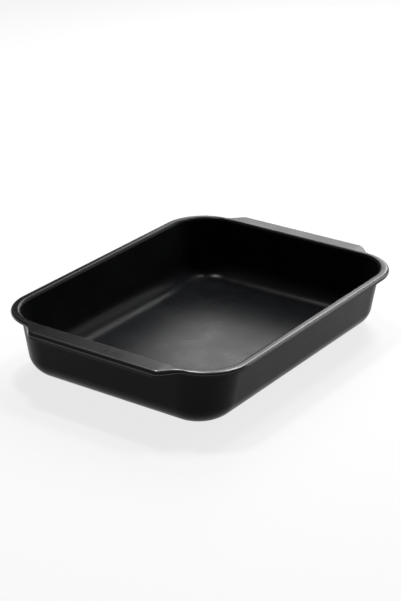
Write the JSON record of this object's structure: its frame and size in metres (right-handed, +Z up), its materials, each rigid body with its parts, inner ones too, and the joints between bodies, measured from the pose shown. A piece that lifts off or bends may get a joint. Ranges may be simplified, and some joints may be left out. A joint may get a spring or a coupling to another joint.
{
  "type": "roasting pan",
  "caption": "Deep rectangular baking pan of black coated pressed steel, with sloping walls, rounded corners, a rim curled round a stiffening wire and a wide flange handle at each short end.",
  "frame": {"origin": "centre of the footprint, on the plane that the floor's underside stands on", "axes": "+X runs through the handles along the pan's length, +Y across the pan, +Z up out of the open top"},
  "size_m": [0.3444, 0.25, 0.0605],
  "materials": {
    "nonstick_coating": "satin black non-stick coating on pressed steel",
    "wire_steel": "plain drawn steel wire"
  },
  "bodies": {
    "root": {"pan_body": "nonstick_coating", "rim_wire": "wire_steel"}
  },
  "joints": []
}
